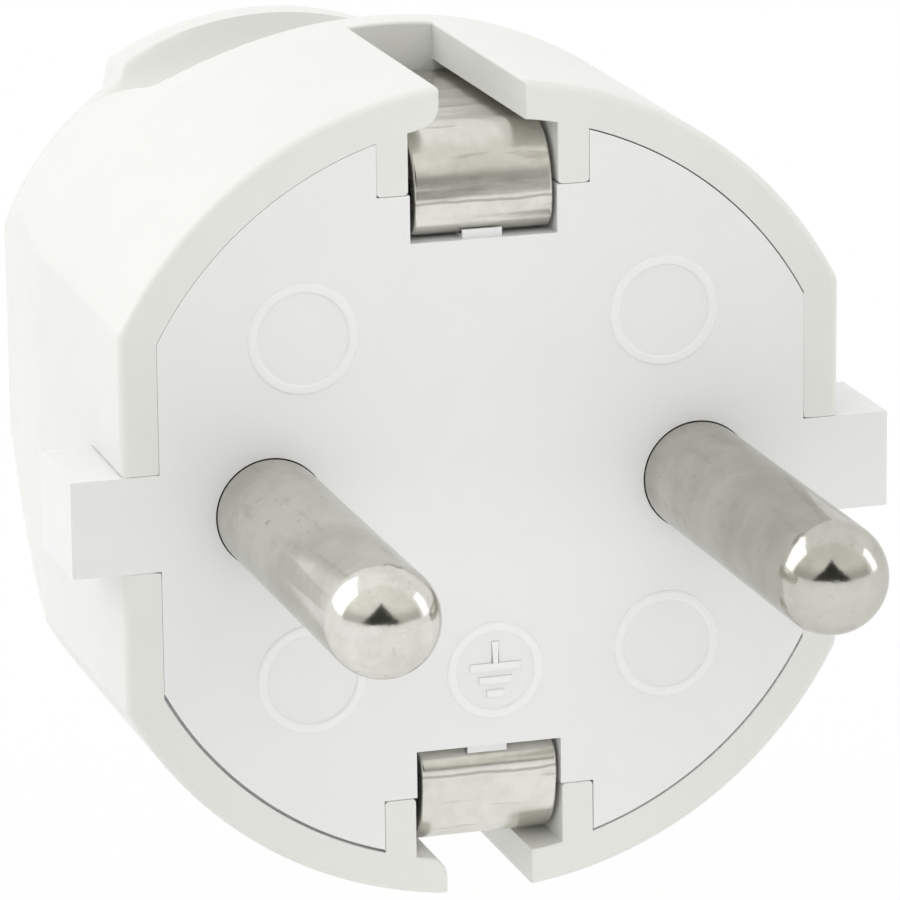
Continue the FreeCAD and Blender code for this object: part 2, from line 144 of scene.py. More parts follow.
def softenEdges(piece, weigh):
    # weigh gives each edge its round in millimetres, or nothing
    mesh = piece.data
    weights = mesh.attributes.new("bevel_weight_edge", "FLOAT", "EDGE")
    sharp = math.radians(modelling["sharpAngle"])
    turns = {}
    for polygon in mesh.polygons:
        for key in polygon.edge_keys:
            turns.setdefault(key, []).append(polygon.normal)
    for edge in mesh.edges:
        sides = turns.get(edge.key, [])
        if len(sides) == 2 and sides[0].angle(sides[1], 0) > sharp:
            a, b = (mesh.vertices[i].co for i in edge.vertices)
            weights.data[edge.index].value = weigh(a, b) / modelling["fullRound"]
    applyModifier(piece, "BEVEL", width=modelling["fullRound"], segments=modelling["roundSteps"],
                  limit_method="WEIGHT", use_clamp_overlap=False, miter_outer="MITER_ARC")


def finishPiece(piece, name, material, slot, *replaced):
    take(piece)
    piece.name = name
    piece.data.name = name
    piece.scale = [modelling["metres"]] * 3
    bpy.ops.object.transform_apply(location=True, rotation=True, scale=True)
    bpy.ops.object.shade_smooth_by_angle(angle=math.radians(modelling["smoothAngle"]))
    applyModifier(piece, "WEIGHTED_NORMAL", keep_sharp=True, weight=modelling["faceWeight"])
    piece.data.materials.clear()
    piece.data.materials.append(material)
    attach(piece, "root")
    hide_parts(*replaced)
    print("made", name, "with", len(piece.data.polygons), "faces")


def isNear(value, target, slack=0.01):
    return abs(value - target) < slack


def softLow(a, b, reach):
    # the lower of two heights, with a soft change from one to the other
    gap = max(reach - abs(a - b), 0) / reach
    return min(a, b) - gap * gap * reach / 4


def smoothStep(value, low, high):
    t = min(max((value - low) / (high - low), 0), 1)
    return t * t * (3 - 2 * t)


def steps(start, end, step):
    count = max(round((end - start) / step), 1)
    return [start + (end - start) * i / count for i in range(count)]


def circlePoints(x, z, radius, start, end, count):
    # angles in degrees from +Z towards +X
    angles = [math.radians(start + (end - start) * i / count) for i in range(count + 1)]
    return [(x + radius * math.sin(a), z + radius * math.cos(a)) for a in angles]


def allRound(quarter):
    # a quarter from the top middle to the right side, mirrored into a full ring
    lower = [(x, -z) for x, z in reversed(quarter[:-1])]
    lowerLeft = [(-x, -z) for x, z in quarter[1:]]
    upperLeft = [(-x, z) for x, z in reversed(quarter[1:-1])]
    return quarter + lower + lowerLeft + upperLeft


def withDepth(outline, y):
    return [Vector((x, y, z)) for x, z in outline]


def box(low, high):
    x0, y0, z0 = low
    x1, y1, z1 = high
    return drawOutline(withDepth([(x0, z0), (x1, z0), (x1, z1), (x0, z1)], y0), (0, y1 - y0, 0))


# shader maths


class Wire:
    def __init__(self, tree, socket=None):
        self.tree = tree
        self.socket = socket

    def add(self, kind, settings=None, sockets=None, out=0):
        node = self.tree.nodes.new(kind)
        for key, value in (settings or {}).items():
            setattr(node, key, value)
        for key, value in (sockets or {}).items():
            if isinstance(value, Wire):
                self.tree.links.new(value.socket, node.inputs[key])
            else:
                node.inputs[key].default_value = value
        return Wire(self.tree, node.outputs[out])

    def math(self, operation, first, second=0.0):
        return self.add("ShaderNodeMath", {"operation": operation}, {0: first, 1: second})

    def __add__(self, other):
        return self.math("ADD", self, other)

    def __radd__(self, other):
        return self.math("ADD", other, self)

    def __sub__(self, other):
        return self.math("SUBTRACT", self, other)

    def __rsub__(self, other):
        return self.math("SUBTRACT", other, self)

    def __mul__(self, other):
        return self.math("MULTIPLY", self, other)

    def __rmul__(self, other):
        return self.math("MULTIPLY", other, self)

    def axis(self, number):
        # one number of a vector: 0 across, 1 along, 2 up
        return self.add("ShaderNodeSeparateXYZ", {}, {0: self}, out=number)

    def along(self, direction):
        return self.add("ShaderNodeVectorMath", {"operation": "DOT_PRODUCT"}, {0: self, 1: direction}, out=1)

    def noise(self, scale, detail, rough=0.55):
        return self.add("ShaderNodeTexNoise", {},
                        {"Vector": self, "Scale": scale, "Detail": detail, "Roughness": rough})

    def spread(self, low, high, start=0.0, end=1.0):
        return self.add("ShaderNodeMapRange", {"interpolation_type": "SMOOTHSTEP"},
                        {"Value": self, "From Min": low, "From Max": high, "To Min": start, "To Max": end})

    def tint(self, first, second):
        return self.add("ShaderNodeMix", {"data_type": "RGBA"},
                        {"Factor": self, 6: first, 7: second}, out=2)

    def bump(self, strength, distance):
        return self.add("ShaderNodeBump", {}, {"Height": self, "Strength": strength, "Distance": distance})


def newFinish(name):
    material = bpy.data.materials.new(name)
    material.use_nodes = True
    shader = material.node_tree.nodes["Principled BSDF"]
    wire = Wire(material.node_tree)
    place = wire.add("ShaderNodeTexCoord", out=3)
    return material, shader, wire, place


def connect(wire, shader, colour, rough, normal):
    for name, value in (("Base Color", colour), ("Roughness", rough), ("Normal", normal)):
        wire.tree.links.new(value.socket, shader.inputs[name])


# plastics, noise scales per metre

plastic = {
    "driftScale": 55.0, "mottleScale": 420.0, "skinScale": 5200.0,
    "driftTone": 0.65, "mottleTone": 0.35, "toneRange": (0.35, 0.65),
    "mottleSheen": 0.12, "skinSheen": 0.1,
    "mottleHeight": 0.4, "skinHeight": 0.6, "bump": 0.12, "bumpDepth": 0.00006,
    "raisedHighlightRange": (-0.00006, -0.00001), "ior": 1.5,
}


def mouldedPlastic(name, light, shade, rough, raisedHighlight=None):
    # satin moulding: slow colour drift, faint flow mottle and a very fine skin
    p = plastic
    material, shader, wire, place = newFinish(name)
    drift = place.noise(p["driftScale"], 2.0)
    mottle = place.noise(p["mottleScale"], 4.0)
    skin = place.noise(p["skinScale"], 3.0, 0.6)
    tone = drift * p["driftTone"] + mottle * p["mottleTone"]
    colour = tone.spread(*p["toneRange"]).tint(light, shade)
    if raisedHighlight:
        # painted highlight: paler on what stands out of the face, where the raised marks catch the light
        colour = place.axis(1).spread(*p["raisedHighlightRange"], 1.0, 0.0).tint(colour, raisedHighlight)
    sheen = rough + (mottle - 0.5) * p["mottleSheen"] + (skin - 0.5) * p["skinSheen"]
    relief = skin * p["skinHeight"] + mottle * p["mottleHeight"]
    connect(wire, shader, colour, sheen, relief.bump(p["bump"], p["bumpDepth"]))
    shader.inputs["IOR"].default_value = p["ior"]
    return material


# metals, noise scales per metre and places in metres

plating = {
    "patchScale": 240.0, "spotScale": 1500.0, "scratchScale": 900.0, "waveScale": 700.0,
    "patchTone": 0.7, "spotTone": 0.3, "toneRange": (0.36, 0.66),
    "spotSheen": 0.16, "scratchSheen": 0.1, "spotHeight": 0.6, "waveHeight": 0.5, "bump": 0.1,
    # this colour darkens threads, specks and parts of the pins, and also paints the shade line along each contact's
    # fold
    "stainAndShade": (0.36, 0.345, 0.295, 1), "edgeTint": (0.84, 0.84, 0.83, 1),
    "threadScale": 1400.0, "threadRange": (0.58, 0.7),
    "darkerAcross": (0.0, 0.005), "darkerAlong": (-0.015, -0.001, 1.1, 0.5), "darkerBody": (-0.0175, -0.0155, 0.0, 0.14),
    "speckScale": 2600.0, "speckRange": (0.66, 0.74, 0.0, 0.5), "speckAlong": (-0.013, -0.007),
    "creaseMiddle": 0.0002, "creaseWave": 0.0006, "creaseShadeRange": (0.00003, 0.0001, 0.7, 0.0),
}


def platedMetal(name, light, shade, rough, grain, fine=0.4, dent=0.0002, threads=0.0, darkening=0.0, crease=0.0):
    # bright plating with soft warm patches, fine scratches along the grain and tiny dents
    p = plating
    stainAndShade = p["stainAndShade"]
    material, shader, wire, place = newFinish(name)
    drawn = wire.add("ShaderNodeMapping", {}, {"Vector": place, "Scale": grain})
    patches = place.noise(p["patchScale"], 3.0)
    spots = place.noise(p["spotScale"], 4.0, 0.65)
    scratches = drawn.noise(p["scratchScale"], 3.0, 0.7)
    waves = drawn.noise(p["waveScale"], 2.0)
    colour = (patches * p["patchTone"] + spots * p["spotTone"]).spread(*p["toneRange"]).tint(light, shade)
    if threads:
        # darker threads along the grain
        thread = drawn.noise(p["threadScale"], 3.0, 0.6).spread(*p["threadRange"], 0.0, threads)
        colour = thread.tint(colour, stainAndShade)
    if darkening:
        # darker on the straight part, more so on the right pin and towards the tip, and a few tarnish specks near the
        # face
        depth = place.axis(1)
        right = place.axis(0).spread(*p["darkerAcross"], 0.0, darkening) * depth.spread(*p["darkerAlong"])
        body = depth.spread(*p["darkerBody"])
        colour = ((right + body) * (0.55 + patches * 0.9)).tint(colour, stainAndShade)
        specks = place.noise(p["speckScale"], 2.0).spread(*p["speckRange"])
        colour = (specks * depth.spread(*p["speckAlong"])).tint(colour, stainAndShade)
    if crease:
        # painted shade: a thin dark wavy line across each contact along its fold, in place of the fold's dark
        # reflection
        height = wire.math("ABSOLUTE", place.axis(2) - p["creaseMiddle"])
        away = height - crease + (patches - 0.5) * p["creaseWave"]
        colour = wire.math("ABSOLUTE", away).spread(*p["creaseShadeRange"]).tint(colour, stainAndShade)
    dull = rough + (spots - 0.5) * p["spotSheen"] + (scratches - 0.5) * p["scratchSheen"]
    relief = scratches * fine + spots * fine * p["spotHeight"] + waves * p["waveHeight"]
    connect(wire, shader, colour, dull, relief.bump(p["bump"], dent))
    shader.inputs["Metallic"].default_value = 1.0
    shader.inputs["Specular Tint"].default_value = p["edgeTint"]
    return material


casingFinish = mouldedPlastic("casingPlastic", rough=0.36,
                              light=(0.785, 0.788, 0.770, 1), shade=(0.765, 0.770, 0.750, 1))
# the carrier's raised marks take a paler painted highlight colour
carrierFinish = mouldedPlastic("carrierPlastic", rough=0.38, raisedHighlight=(0.852, 0.856, 0.86, 1),
                               light=(0.825, 0.83, 0.835, 1), shade=(0.81, 0.817, 0.824, 1))
pinFinish = platedMetal("platedPin", rough=0.14, grain=(1.0, 0.12, 1.0), threads=0.25, darkening=0.45,
                        light=(0.80, 0.796, 0.755, 1), shade=(0.65, 0.642, 0.59, 1))
# the strip finish paints a shade line along each contact's fold
stripFinish = platedMetal("platedStrip", rough=0.23, grain=(0.15, 1.0, 1.0), fine=0.07, dent=0.001, threads=0.5,
                          crease=0.01265, light=(0.78, 0.77, 0.72, 1), shade=(0.67, 0.66, 0.605, 1))
zincFinish = platedMetal("zincScrew", rough=0.28, grain=(1.0, 1.0, 0.3),
                         light=(0.66, 0.67, 0.69, 1), shade=(0.52, 0.53, 0.56, 1))
brassFinish = platedMetal("bareBrass", rough=0.24, grain=(1.0, 1.0, 0.3),
                          light=(0.80, 0.62, 0.32, 1), shade=(0.66, 0.49, 0.22, 1))
print("finishes ready")


# casing: a lofted shell with soft scoops and lips, hollowed and slotted

casing = {
    "radius": 17.95, "side": 15.8, "draft": 0.18, "cornerReach": 0.1, "cornerSpan": 0.3,
    "crease": 15.8, "narrowEnd": 35.0, "rearRadius": 13.8, "rearSide": 12.8, "bulge": 0.45,
    "rear": 37.5, "rearRound": 2.5,
    "scoopStart": 13.0, "scoopHalf": 9.5, "scoopFloor": 11.24, "scoopMiddle": 30.94, "scoopSweep": 20.45,
    "scoopCove": 0.5, "coveMargin": 0.2, "coveRise": 3.0, "scoopSoft": 0.45,
    "lipStart": 29.0, "lipRadius": 14.6, "lipHalf": 7.45, "lipFront": 3.36, "lipRearRound": 1.6, "lipSoft": 0.25,
    "lipClear": 9.0,
    # where the loft has its columns, across the top and down the flat side, and its rings
    "topColumns": [0, 0.5, 1.0, 1.5, 2.3, 2.8, 3.4, 4.0, 4.6, 5.2, 5.8, 6.4, 6.8, 7.05, 7.2, 7.3, 7.4, 7.5, 7.6, 7.75,
                   8.0, 8.35, 8.7, 8.95, 9.15, 9.35, 9.48, 9.58, 9.75, 10.0],
    "sideColumns": (3.0, 1.4, 0),
    "frontRings": [0, 14.4, 15.0, 15.3, 15.5, 15.65, 15.8, 15.95, 16.1, 16.3, 16.6],
    "ringRuns": [(17.0, 29.0, 0.6), (29.0, 33.0, 0.35), (33.0, 35.0, 0.11)],
    "seatRadius": 16.3, "seatSide": 14.35, "seatDepth": 4.0,
    "wall": 1.65, "wallRadius": 15.4, "wallSide": 13.45, "hallStart": 3.0, "frontDepth": 13.8,
    "cavityStart": 13.4, "cavityStep": 0.9, "cavityEnd": 33.9,
    "keyInner": 3.3, "keyOuter": 4.7, "keyEnd": 13.3, "keyRound": 0.2,
    "slotHalf": 1.9, "slotRound": 1.0, "slotFoot": 0.4, "slotTop": 19.5,
    "notchHalf": 2.11, "notchDepth": 5.56, "notchInner": 9.5, "notchOuter": 20.0,
    "screwZ": 8.24, "screwHole": 1.75, "counterbore": 2.95, "counterboreStart": 35.34, "boreRound": 0.25,
    "post": 2.5, "postStart": 10.0, "postEnd": 34.6,
    "entry": 4.2, "entryStart": 32.7, "flare": 0.6, "pastRear": 0.2,
    "rimRound": 0.42, "edgeRound": 0.15, "seatRound": 0.05, "flatRound": 0.03, "notchCorner": 0.7,
}


def narrowing(y, front, rear, bulge):
    c = casing
    if y <= c["crease"]:
        return front
    if y <= c["narrowEnd"]:
        t = (y - c["crease"]) / (c["narrowEnd"] - c["crease"])
        return front + (rear - front) * t + 4 * bulge * t * (1 - t)
    back = min(y - c["narrowEnd"], c["rearRound"])
    return rear - c["rearRound"] + math.sqrt(c["rearRound"] ** 2 - back ** 2)


def roundAt(y):
    return narrowing(y, casing["radius"], casing["rearRadius"], casing["bulge"])


def sideAt(y):
    c = casing
    return narrowing(y, c["side"] + c["draft"] * max(1 - y / c["crease"], 0), c["rearSide"], 0)


def scoopAt(y, sweep):
    c = casing
    centre = c["scoopFloor"] + c["scoopSweep"]
    if y <= c["scoopMiddle"]:
        return centre - math.sqrt(sweep ** 2 - (c["scoopMiddle"] - y) ** 2)
    return centre - sweep


def lipRadiusAt(y):
    c = casing
    bend = c["lipRearRound"]
    back = min(max(y - (c["rear"] - bend), 0), bend)
    return c["lipRadius"] - bend + math.sqrt(bend ** 2 - back ** 2)


def topHeight(x, y):
    c = casing
    body = math.sqrt(max(roundAt(y) ** 2 - x * x, 0))
    if y < c["scoopStart"] or x > c["scoopHalf"] + c["coveMargin"]:
        return body
    lipEnds = 1 - smoothStep(x, c["lipHalf"] - c["lipSoft"], c["lipHalf"] + c["lipSoft"])
    lip = math.sqrt(max(lipRadiusAt(y) ** 2 - x * x, 0)) if y > c["lipStart"] else 0
    crown = body + max(lip - body, 0) * lipEnds
    over = y - c["scoopMiddle"]
    if over <= 0:
        floor = scoopAt(y, c["scoopSweep"])
    elif over < c["lipFront"]:
        floor = c["scoopFloor"] + c["lipFront"] - math.sqrt(c["lipFront"] ** 2 - over ** 2)
    else:
        floor = c["lipRadius"] + c["lipClear"]
    # the scoop's sides rise in a small cove
    cove = c["scoopCove"]
    inward = x - (c["scoopHalf"] - cove)
    if inward > 0:
        floor += cove - math.sqrt(max(cove ** 2 - inward ** 2, 0))
    if inward > cove:
        floor += c["coveRise"]
    return softLow(crown, floor, c["scoopSoft"])


def shellQuarter(y):
    c = casing
    outline = [(x, topHeight(x, y)) for x in c["topColumns"]]
    radius, side = roundAt(y), sideAt(y)
    start = math.atan2(*outline[-1])
    corner = math.asin(side / radius)
    near = c["cornerSpan"] / radius
    angles = [start + (corner - near - start) * i / 9 for i in range(1, 10)]
    angles += [corner + near * i / 4 for i in range(-3, 5)]
    for angle in angles:
        reach = softLow(radius, side / math.sin(angle), c["cornerReach"])
        outline.append((reach * math.sin(angle), reach * math.cos(angle)))
    last = outline[-1][1]
    first = c["sideColumns"][0]
    heights = (last * 0.8 + first * 0.2, (last + first) / 2, *c["sideColumns"])
    return outline + [(side, z) for z in heights]


def hollowQuarter(radius, side):
    # the keys beside the earth slots stand into the hollow
    c = casing
    r = c["keyRound"]
    quarter = circlePoints(0, 0, c["seatRadius"], 0, math.degrees(math.asin(c["keyInner"] / c["seatRadius"])), 6)
    quarter += [(c["keyInner"], c["keyEnd"] + r)]
    quarter += circlePoints(c["keyInner"] + r, c["keyEnd"] + r, r, 270, 180, 4)[1:]
    quarter += circlePoints(c["keyOuter"] - r, c["keyEnd"] + r, r, 180, 90, 4)
    first = math.degrees(math.asin(c["keyOuter"] / radius))
    quarter += circlePoints(0, 0, radius, first, math.degrees(math.asin(side / radius)), 30)
    return quarter + [(side, 0)]


def drawHollow(radius, side, start, end):
    return drawOutline(withDepth(allRound(hollowQuarter(radius, side)), start), (0, end - start, 0))


def cavityQuarter(y):
    c = casing
    straight = c["cavityEnd"] - c["rearRound"]
    inner = min(y, straight)
    back = max(y - straight, 0)
    inset = c["rearRound"] - math.sqrt(max(c["rearRound"] ** 2 - back ** 2, 0))
    radius = min(roundAt(inner) - c["wall"], c["wallRadius"]) - inset
    side = min(sideAt(inner) - c["wall"], c["wallSide"]) - inset
    ceiling = scoopAt(y, c["scoopSweep"] + c["wall"]) - inset
    arc = circlePoints(0, 0, radius, 0, math.degrees(math.asin(side / radius)), 36)
    return [(x, min(z, ceiling)) for x, z in arc] + [(side, 0)]


def makeCasing():
    c = casing
    depths = list(c["frontRings"])
    for run in c["ringRuns"]:
        depths += steps(*run)
    depths += [c["narrowEnd"] + c["rearRound"] * math.sin(math.radians(9 * i)) for i in range(11)]
    shell = loftRings([withDepth(allRound(shellQuarter(y)), y) for y in depths])
    print("casing shell lofted")

    seat = drawHollow(c["seatRadius"], c["seatSide"], -overshoot, c["seatDepth"])
    hall = drawHollow(c["wallRadius"], c["wallSide"], c["hallStart"], c["frontDepth"])
    straight = c["cavityEnd"] - c["rearRound"]
    depths = steps(c["cavityStart"], straight, c["cavityStep"])
    depths += [straight + c["rearRound"] * math.sin(math.radians(12 * i)) for i in range(8)]
    cavity = loftRings([withDepth(allRound(cavityQuarter(y)), y) for y in depths])
    cutAway(shell, seat, hall, cavity)
    print("casing hollowed")

    rear, past = c["rear"], c["pastRear"]
    start, hole, wide = c["counterboreStart"], c["screwHole"], c["counterbore"]
    bore = [(c["postStart"] - overshoot, hole), (start, hole), (start, wide)]
    bore += [(rear - c["boreRound"], wide), (rear + past, wide + c["boreRound"] + past)]
    for z in (c["screwZ"], -c["screwZ"]):
        joinOn(shell, turnProfile([(c["postStart"], c["post"]), (c["postEnd"], c["post"])], 0, z))
    for z in (c["screwZ"], -c["screwZ"]):
        cutAway(shell, turnProfile(bore, 0, z))
    cutAway(shell, turnProfile([(c["entryStart"], c["entry"]), (rear - c["flare"], c["entry"]),
                                (rear + past, c["entry"] + c["flare"] + past)], 0, 0, 96))

    # the slot's left edge runs out in a round
    half, r = c["slotHalf"], c["slotRound"]
    bottom = c["seatRadius"] - c["slotFoot"]
    lip = math.sqrt(c["seatRadius"] ** 2 - (half + r) ** 2)
    slot = [(half, bottom), (-half - r, bottom)] + circlePoints(-half - r, lip + r, r, 180, 90, 10)
    slot += [(-half, c["slotTop"]), (half, c["slotTop"])]
    for sign in (1, -1):
        cutAway(shell, drawOutline([Vector((x, -overshoot, sign * z)) for x, z in slot],
                                   (0, c["frontDepth"] + overshoot, 0)))
    n, inner, outer = c["notchHalf"], c["notchInner"], c["notchOuter"]
    notch = [(inner, -n), (inner, n), (outer, n), (outer, -n)]
    for sign in (1, -1):
        cutAway(shell, drawOutline([Vector((sign * x, -overshoot, z)) for x, z in notch],
                                   (0, c["notchDepth"] + overshoot, 0)))
    print("casing slotted")

    softenEdges(shell, casingRound)
    finishPiece(shell, "casing_shell", casingFinish, "casing_plastic", "casing")


def onOutside(point):
    c = casing
    away = math.hypot(point.x, point.z)
    corner = abs(point.x) > 15 and away > 17.6  # where the flats meet the round
    return away > c["radius"] - 0.02 or abs(point.x) > c["side"] - 0.02 or corner


def casingRound(a, b):
    c = casing
    outside = onOutside(a) and onOutside(b)
    widest = max(abs(a.x), abs(b.x))
    atSeatSide = isNear(abs(a.x), c["seatSide"]) and isNear(abs(b.x), c["seatSide"])
    if isNear(a.y, 0) and isNear(b.y, 0):
        if outside:
            return c["rimRound"]
        if atSeatSide:
            return c["flatRound"]
        return c["edgeRound"] if widest < c["keyInner"] - 0.1 else c["seatRound"]
    slot = isNear(abs(a.x), c["slotHalf"]) and isNear(abs(b.x), c["slotHalf"])
    slotEnd = isNear(a.y, c["frontDepth"]) and isNear(b.y, c["frontDepth"]) and widest < c["slotHalf"] + 0.05
    if (slot or slotEnd) and outside:
        return c["edgeRound"]
    low, deep = max(abs(a.z), abs(b.z)), max(a.y, b.y)
    if low > c["notchHalf"] + 0.01 or deep > c["notchDepth"] + 0.04:
        return 0
    if atSeatSide and abs(a.z) > c["notchHalf"] - 0.11:
        return c["notchCorner"] if a.x * a.z > 0 else c["notchCorner"] / 3
    return c["edgeRound"] if outside else 0


makeCasing()


# pin carrier: face with ears, contact windows and low marks, sockets and tail behind

carrier = {
    "radius": 16.295, "side": 14.345, "backSide": 13.39, "plate": 4.0, "root": 3.5,
    "earEnd": 18.2, "earHalf": 2.105, "earDepth": 5.5,
    # the seam is open below and on the right: from and to angle, inner radius, depth
    "grooves": [(16.0, 62.3, 16.25, 0.6), (117.7, 164.0, 16.2, 0.35), (196.0, 242.3, 16.17, 0.4)],
    "grooveOuter": 16.6, "grooveStart": -0.5,
    "windowHalf": 3.25, "windowEdge": 11.21,
    "ribHalf": 0.875, "ribEdge": 11.33, "ribSetback": 0.45, "ribSkin": 0.002, "ribCut": 0.5, "ribCutHalf": 1.5,
    "tabEdge": 11.58, "tabFront": 0.28, "tabBack": 0.43, "tabRoot": 0.3,
    "upperNotch": (4.705, 13.29), "lowerNotch": (4.72, 13.27),
    "pinX": 9.5, "pinHole": 2.44, "pinHoleBack": 2.86,
    "socket": 4.62, "socketBore": 3.42, "socketEnd": 11.0, "socketCut": 12.0, "wireSlot": 2.8,
    "boss": 2.5, "bossZ": 8.24, "bossEnd": 9.0, "bossCut": 10.0, "insertHole": 2.02, "insertStart": 4.6,
    "screwHole": 1.75, "skin": 2.0, "bush": 3.0, "bushHole": 2.05,
    "tailTop": -4.0, "tailBottom": -5.5, "tailHalf": 9.0, "tailEnd": 30.5, "tailSlot": 3.56, "tailSlotEnd": 15.5,
    "clampPost": 2.1, "clampX": 7.2, "clampY": 26.0, "clampTop": 2.2, "clampHole": 1.35,
    "edgeRound": 0.04, "flatRound": 0.02, "earRound": 0.16,
}

faceMarks = {
    "rings": [(-8.0, 7.49, 2.2), (8.0, 7.45, 2.2), (-7.86, -7.45, 2.2), (8.07, -7.4, 2.16), (0.31, -7.86, 1.95)],
    "ringHalf": 0.19, "height": 0.08, "sunk": 0.4,
    "bars": [(0.31, -7.7, 2.3), (0.31, -8.3, 1.5), (0.31, -8.9, 0.8)], "barHeight": 0.34, "barRound": 0.07,
    "stem": (0.31, -7.1, 0.34, 1.1), "stemRise": 0.9,
}


def lowBar(x, z, width, height, rise):
    # a rounded bar that stands a little out of the face
    def barRound(a, b):
        return faceMarks["barRound"] if isNear(a.y, -rise, 0.001) and isNear(b.y, -rise, 0.001) else 0

    bar = box((x - width / 2, -rise, z - height / 2), (x + width / 2, faceMarks["sunk"], z + height / 2))
    softenEdges(bar, barRound)
    return bar


def lowRing(x, z, radius, half, rise):
    # a soft bead, drawn as a section and spun about its own middle
    side = [(1.2, -0.05), (1.18, 0.003), (1.02, rise * 0.45), (0.88, rise * 0.84), (0.7, rise), (0.35, rise * 1.03)]
    section = [(-half * out, up) for out, up in side] + [(half * out, up) for out, up in reversed(side)]
    clearSelection()
    bpy.ops.mesh.primitive_circle_add(vertices=len(section), radius=1, fill_type="NOTHING")
    ring = bpy.context.object
    for vertex, (out, up) in zip(ring.data.vertices, section):
        vertex.co = (x + radius + out, -up, z)
    bpy.ops.object.mode_set(mode="EDIT")
    bpy.ops.mesh.select_all(action="SELECT")
    bpy.ops.mesh.spin(steps=96, angle=2 * math.pi, center=(x, 0, z), axis=(0, 1, 0))
    bpy.ops.mesh.select_all(action="SELECT")
    bpy.ops.mesh.remove_doubles(threshold=0.0005)
    bpy.ops.object.mode_set(mode="OBJECT")
    faceOutward(ring)
    return ring


def plateQuarter(notchHalf, notchEdge):
    c = carrier
    corner = math.degrees(math.asin(c["side"] / c["radius"]))
    first = math.degrees(math.asin(notchHalf / c["radius"]))
    quarter = [(0, c["ribEdge"]), (c["ribHalf"], c["ribEdge"]), (c["ribHalf"], c["windowEdge"])]
    quarter += [(c["windowHalf"], c["windowEdge"]), (c["windowHalf"], notchEdge)]
    quarter += [(notchHalf, notchEdge)] + circlePoints(0, 0, c["radius"], first, corner, 30)
    return quarter + [(c["side"], c["earHalf"]), (c["earEnd"], c["earHalf"]), (c["earEnd"], 0)]


def drawPlate():
    c = carrier
    upper = [point for point in allRound(plateQuarter(*c["upperNotch"])) if point[1] >= 0]
    lower = [point for point in allRound(plateQuarter(*c["lowerNotch"])) if point[1] < 0]
    split = max(i for i, point in enumerate(upper) if point[0] > 0) + 1
    plate = drawOutline(withDepth(upper[:split] + lower + upper[split:], 0), (0, c["earDepth"], 0))
    # only the ears go deeper than the plate
    wide = c["side"] + 0.1
    cutAway(plate, box((-wide, c["plate"], -17), (wide, 7, 17)))
    for start, end, inner, depth in c["grooves"]:
        band = circlePoints(0, 0, inner, start, end, 30) + circlePoints(0, 0, c["grooveOuter"], end, start, 30)
        cutAway(plate, drawOutline(withDepth(band, c["grooveStart"]), (0, depth - c["grooveStart"], 0)))
    for sign in (1, -1):
        rib = sorted((sign * (c["windowEdge"] + c["ribSkin"]), sign * (c["ribEdge"] + c["ribCut"])))
        cutAway(plate, box((-c["ribCutHalf"], -overshoot, rib[0]), (c["ribCutHalf"], c["ribSetback"], rib[1])))
        tab = sorted((sign * (c["windowEdge"] - c["tabRoot"]), sign * c["tabEdge"]))
        joinOn(plate, box((-c["ribHalf"], c["tabFront"], tab[0]), (c["ribHalf"], c["tabBack"], tab[1])))
    print("carrier plate drawn")
    return plate


def addBack(plate):
    # sockets with their arms, bosses, the earth terminal's bush and the tail
    c = carrier
    root = c["root"]
    for sign in (1, -1):
        x = sign * c["pinX"]
        socket = turnProfile([(root, c["socket"]), (c["socketEnd"], c["socket"])], x, 0, 72)
        trim = sorted((sign * c["backSide"], sign * (c["backSide"] + 2)))
        cutAway(socket, box((trim[0], 3, -6), (trim[1], c["socketCut"], 6)))
        arm = sorted((x, sign * (c["side"] + 0.5)))
        half = c["earHalf"] - 0.01
        joinOn(plate, socket, box((arm[0], root, -half), (arm[1], c["earDepth"], half)))
        joinOn(plate, turnProfile([(root, c["boss"]), (c["bossEnd"], c["boss"])], 0, sign * c["bossZ"]))
    joinOn(plate, turnProfile([(root, c["bush"]), (c["bossEnd"], c["bush"])]))
    tail = box((-c["tailHalf"], root, c["tailBottom"]), (c["tailHalf"], c["tailEnd"], c["tailTop"]))
    cutAway(tail, box((-c["tailSlot"], c["plate"], -7), (c["tailSlot"], c["tailSlotEnd"], -3)))
    joinOn(plate, tail)
    for sign in (1, -1):
        x = sign * c["clampX"]
        post = circlePoints(x, c["clampY"], c["clampPost"], 0, 360, 48)[:-1]
        joinOn(plate, drawOutline([Vector((px, py, c["tailBottom"])) for px, py in post],
                                  (0, 0, c["clampTop"] - c["tailBottom"])))
        hole = circlePoints(x, c["clampY"], c["clampHole"], 0, 360, 40)[:-1]
        cutAway(plate, drawOutline([Vector((px, py, -7)) for px, py in hole], (0, 0, 10)))


def drillBack(plate):
    c = carrier
    slope = (c["pinHoleBack"] - c["pinHole"]) / c["plate"]
    half = c["wireSlot"] / 2
    pinHole = [(-overshoot, c["pinHole"] - slope), (c["plate"] + overshoot, c["pinHoleBack"] + slope)]
    insertHole = [(c["skin"], c["screwHole"]), (c["insertStart"], c["screwHole"]),
                  (c["insertStart"], c["insertHole"]), (c["bossCut"], c["insertHole"])]
    for sign in (1, -1):
        x = sign * c["pinX"]
        cutAway(plate, turnProfile([(c["plate"], c["socketBore"]), (c["socketCut"], c["socketBore"])], x, 0, 72))
        cutAway(plate, box((x - half, c["plate"], 0), (x + half, c["socketCut"], 6)))
        cutAway(plate, turnProfile(pinHole, x, 0, 96))
        cutAway(plate, turnProfile(insertHole, 0, sign * c["bossZ"]))
    cutAway(plate, turnProfile([(c["skin"], c["bushHole"]), (c["bossCut"], c["bushHole"])]))
    print("carrier back made")


